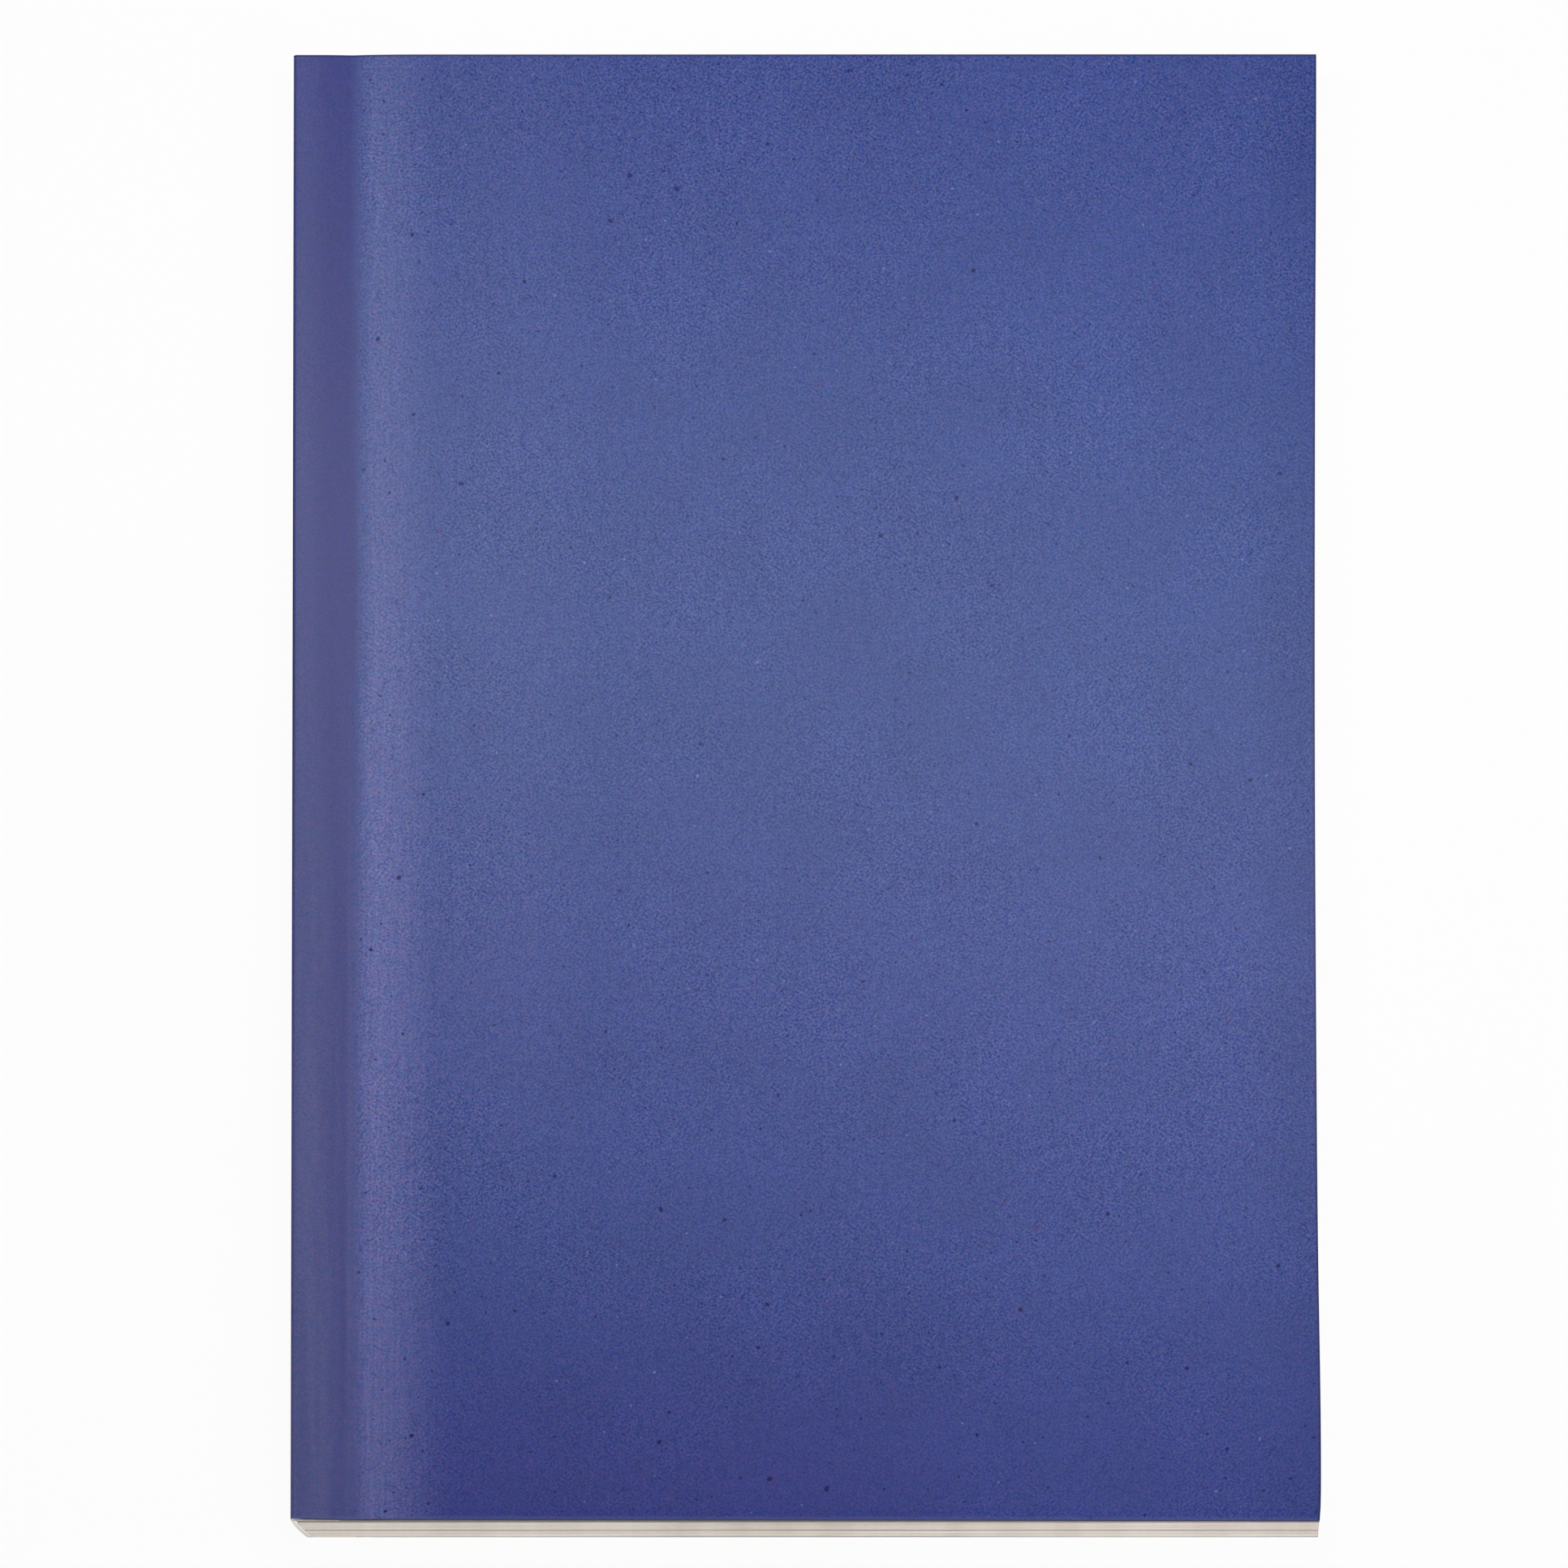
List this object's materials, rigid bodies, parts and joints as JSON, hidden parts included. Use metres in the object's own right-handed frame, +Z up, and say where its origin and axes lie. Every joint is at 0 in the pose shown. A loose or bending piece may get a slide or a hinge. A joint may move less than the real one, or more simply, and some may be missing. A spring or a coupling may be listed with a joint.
{
  "type": "perfect bound notebook",
  "caption": "Slim softcover notebook: a single-sheet card cover wraps a glued block of loose leaves, with a scored hinge strip beside a softly curved spine.",
  "frame": {"origin": "centre of the closed notebook's footprint, on the surface that its back cover lies on", "axes": "+X across the cover from the spine to the fore edge, +Y along the spine to the head, +Z up through the thickness to the front cover"},
  "size_m": [0.1524, 0.2286, 0.0092],
  "materials": {
    "cover_card": "uncoated coloured card, finely mottled",
    "paper": "uncoated off-white writing paper",
    "adhesive": "set hot-melt adhesive"
  },
  "bodies": {
    "bound_block": {"cover_spine_wrap": "cover_card", "spine_adhesive": "adhesive", "front_side_glue": "adhesive", "back_side_glue": "adhesive", "back_leaf_margins": "paper", "front_leaf_margins": "paper", "page_section_1": "paper", "page_section_2": "paper", "page_section_3": "paper", "page_section_4": "paper", "page_section_5": "paper", "page_section_6": "paper", "page_section_7": "paper"},
    "front_cover": {"cover_front_panel": "cover_card"},
    "back_cover": {"cover_back_panel": "cover_card"},
    "front_leaf_01": {"front_leaf_01": "paper"},
    "front_leaf_02": {"front_leaf_02": "paper"},
    "front_leaf_03": {"front_leaf_03": "paper"},
    "front_leaf_04": {"front_leaf_04": "paper"},
    "front_leaf_05": {"front_leaf_05": "paper"},
    "front_leaf_06": {"front_leaf_06": "paper"},
    "front_leaf_07": {"front_leaf_07": "paper"},
    "front_leaf_08": {"front_leaf_08": "paper"},
    "front_leaf_09": {"front_leaf_09": "paper"},
    "front_leaf_10": {"front_leaf_10": "paper"},
    "front_leaf_11": {"front_leaf_11": "paper"},
    "front_leaf_12": {"front_leaf_12": "paper"},
    "back_leaf_01": {"back_leaf_01": "paper"},
    "back_leaf_02": {"back_leaf_02": "paper"},
    "back_leaf_03": {"back_leaf_03": "paper"},
    "back_leaf_04": {"back_leaf_04": "paper"},
    "back_leaf_05": {"back_leaf_05": "paper"},
    "back_leaf_06": {"back_leaf_06": "paper"},
    "back_leaf_07": {"back_leaf_07": "paper"},
    "back_leaf_08": {"back_leaf_08": "paper"},
    "back_leaf_09": {"back_leaf_09": "paper"},
    "back_leaf_10": {"back_leaf_10": "paper"},
    "back_leaf_11": {"back_leaf_11": "paper"},
    "back_leaf_12": {"back_leaf_12": "paper"}
  },
  "joints": [
    {"name": "front_cover_hinge", "type": "hinge", "parent": "bound_block", "child": "front_cover", "pos_m": [-0.0674, 0, 0.00925], "axis": [0, -1, 0], "range_deg": [0, 178]},
    {"name": "back_cover_hinge", "type": "hinge", "parent": "bound_block", "child": "back_cover", "pos_m": [-0.065, 0, -0.00005], "axis": [0, 1, 0], "range_deg": [0, 178]},
    {"name": "front_leaf_01_turn", "type": "hinge", "parent": "bound_block", "child": "front_leaf_01", "pos_m": [-0.0674, 0, 0.00925], "axis": [0, -1, 0], "range_deg": [0, 164.8]},
    {"name": "front_leaf_02_turn", "type": "hinge", "parent": "bound_block", "child": "front_leaf_02", "pos_m": [-0.0674, 0, 0.00925], "axis": [0, -1, 0], "range_deg": [0, 151.1]},
    {"name": "front_leaf_03_turn", "type": "hinge", "parent": "bound_block", "child": "front_leaf_03", "pos_m": [-0.0674, 0, 0.00925], "axis": [0, -1, 0], "range_deg": [0, 137.4]},
    {"name": "front_leaf_04_turn", "type": "hinge", "parent": "bound_block", "child": "front_leaf_04", "pos_m": [-0.0674, 0, 0.00925], "axis": [0, -1, 0], "range_deg": [0, 123.7]},
    {"name": "front_leaf_05_turn", "type": "hinge", "parent": "bound_block", "child": "front_leaf_05", "pos_m": [-0.0674, 0, 0.00925], "axis": [0, -1, 0], "range_deg": [0, 110]},
    {"name": "front_leaf_06_turn", "type": "hinge", "parent": "bound_block", "child": "front_leaf_06", "pos_m": [-0.0674, 0, 0.00925], "axis": [0, -1, 0], "range_deg": [0, 96.4]},
    {"name": "front_leaf_07_turn", "type": "hinge", "parent": "bound_block", "child": "front_leaf_07", "pos_m": [-0.0674, 0, 0.00925], "axis": [0, -1, 0], "range_deg": [0, 82.6]},
    {"name": "front_leaf_08_turn", "type": "hinge", "parent": "bound_block", "child": "front_leaf_08", "pos_m": [-0.0674, 0, 0.00925], "axis": [0, -1, 0], "range_deg": [0, 69]},
    {"name": "front_leaf_09_turn", "type": "hinge", "parent": "bound_block", "child": "front_leaf_09", "pos_m": [-0.0674, 0, 0.00925], "axis": [0, -1, 0], "range_deg": [0, 55.3]},
    {"name": "front_leaf_10_turn", "type": "hinge", "parent": "bound_block", "child": "front_leaf_10", "pos_m": [-0.0674, 0, 0.00925], "axis": [0, -1, 0], "range_deg": [0, 41.6]},
    {"name": "front_leaf_11_turn", "type": "hinge", "parent": "bound_block", "child": "front_leaf_11", "pos_m": [-0.0674, 0, 0.00925], "axis": [0, -1, 0], "range_deg": [0, 27.9]},
    {"name": "front_leaf_12_turn", "type": "hinge", "parent": "bound_block", "child": "front_leaf_12", "pos_m": [-0.0674, 0, 0.00925], "axis": [0, -1, 0], "range_deg": [0, 14.2]},
    {"name": "back_leaf_01_turn", "type": "hinge", "parent": "bound_block", "child": "back_leaf_01", "pos_m": [-0.065, 0, -0.00005], "axis": [0, 1, 0], "range_deg": [0, 164.8]},
    {"name": "back_leaf_02_turn", "type": "hinge", "parent": "bound_block", "child": "back_leaf_02", "pos_m": [-0.065, 0, -0.00005], "axis": [0, 1, 0], "range_deg": [0, 151.1]},
    {"name": "back_leaf_03_turn", "type": "hinge", "parent": "bound_block", "child": "back_leaf_03", "pos_m": [-0.065, 0, -0.00005], "axis": [0, 1, 0], "range_deg": [0, 137.4]},
    {"name": "back_leaf_04_turn", "type": "hinge", "parent": "bound_block", "child": "back_leaf_04", "pos_m": [-0.065, 0, -0.00005], "axis": [0, 1, 0], "range_deg": [0, 123.7]},
    {"name": "back_leaf_05_turn", "type": "hinge", "parent": "bound_block", "child": "back_leaf_05", "pos_m": [-0.065, 0, -0.00005], "axis": [0, 1, 0], "range_deg": [0, 110]},
    {"name": "back_leaf_06_turn", "type": "hinge", "parent": "bound_block", "child": "back_leaf_06", "pos_m": [-0.065, 0, -0.00005], "axis": [0, 1, 0], "range_deg": [0, 96.4]},
    {"name": "back_leaf_07_turn", "type": "hinge", "parent": "bound_block", "child": "back_leaf_07", "pos_m": [-0.065, 0, -0.00005], "axis": [0, 1, 0], "range_deg": [0, 82.6]},
    {"name": "back_leaf_08_turn", "type": "hinge", "parent": "bound_block", "child": "back_leaf_08", "pos_m": [-0.065, 0, -0.00005], "axis": [0, 1, 0], "range_deg": [0, 69]},
    {"name": "back_leaf_09_turn", "type": "hinge", "parent": "bound_block", "child": "back_leaf_09", "pos_m": [-0.065, 0, -0.00005], "axis": [0, 1, 0], "range_deg": [0, 55.3]},
    {"name": "back_leaf_10_turn", "type": "hinge", "parent": "bound_block", "child": "back_leaf_10", "pos_m": [-0.065, 0, -0.00005], "axis": [0, 1, 0], "range_deg": [0, 41.6]},
    {"name": "back_leaf_11_turn", "type": "hinge", "parent": "bound_block", "child": "back_leaf_11", "pos_m": [-0.065, 0, -0.00005], "axis": [0, 1, 0], "range_deg": [0, 27.9]},
    {"name": "back_leaf_12_turn", "type": "hinge", "parent": "bound_block", "child": "back_leaf_12", "pos_m": [-0.065, 0, -0.00005], "axis": [0, 1, 0], "range_deg": [0, 14.2]}
  ],
  "couplings": [
    {"joint": "front_leaf_01_turn", "follows": "front_cover_hinge", "ratio": 0.9231},
    {"joint": "front_leaf_02_turn", "follows": "front_cover_hinge", "ratio": 0.8462},
    {"joint": "front_leaf_03_turn", "follows": "front_cover_hinge", "ratio": 0.7692},
    {"joint": "front_leaf_04_turn", "follows": "front_cover_hinge", "ratio": 0.6923},
    {"joint": "front_leaf_05_turn", "follows": "front_cover_hinge", "ratio": 0.6154},
    {"joint": "front_leaf_06_turn", "follows": "front_cover_hinge", "ratio": 0.5385},
    {"joint": "front_leaf_07_turn", "follows": "front_cover_hinge", "ratio": 0.4615},
    {"joint": "front_leaf_08_turn", "follows": "front_cover_hinge", "ratio": 0.3846},
    {"joint": "front_leaf_09_turn", "follows": "front_cover_hinge", "ratio": 0.3077},
    {"joint": "front_leaf_10_turn", "follows": "front_cover_hinge", "ratio": 0.2308},
    {"joint": "front_leaf_11_turn", "follows": "front_cover_hinge", "ratio": 0.1538},
    {"joint": "front_leaf_12_turn", "follows": "front_cover_hinge", "ratio": 0.0769},
    {"joint": "back_leaf_01_turn", "follows": "back_cover_hinge", "ratio": 0.9231},
    {"joint": "back_leaf_02_turn", "follows": "back_cover_hinge", "ratio": 0.8462},
    {"joint": "back_leaf_03_turn", "follows": "back_cover_hinge", "ratio": 0.7692},
    {"joint": "back_leaf_04_turn", "follows": "back_cover_hinge", "ratio": 0.6923},
    {"joint": "back_leaf_05_turn", "follows": "back_cover_hinge", "ratio": 0.6154},
    {"joint": "back_leaf_06_turn", "follows": "back_cover_hinge", "ratio": 0.5385},
    {"joint": "back_leaf_07_turn", "follows": "back_cover_hinge", "ratio": 0.4615},
    {"joint": "back_leaf_08_turn", "follows": "back_cover_hinge", "ratio": 0.3846},
    {"joint": "back_leaf_09_turn", "follows": "back_cover_hinge", "ratio": 0.3077},
    {"joint": "back_leaf_10_turn", "follows": "back_cover_hinge", "ratio": 0.2308},
    {"joint": "back_leaf_11_turn", "follows": "back_cover_hinge", "ratio": 0.1538},
    {"joint": "back_leaf_12_turn", "follows": "back_cover_hinge", "ratio": 0.0769}
  ]
}
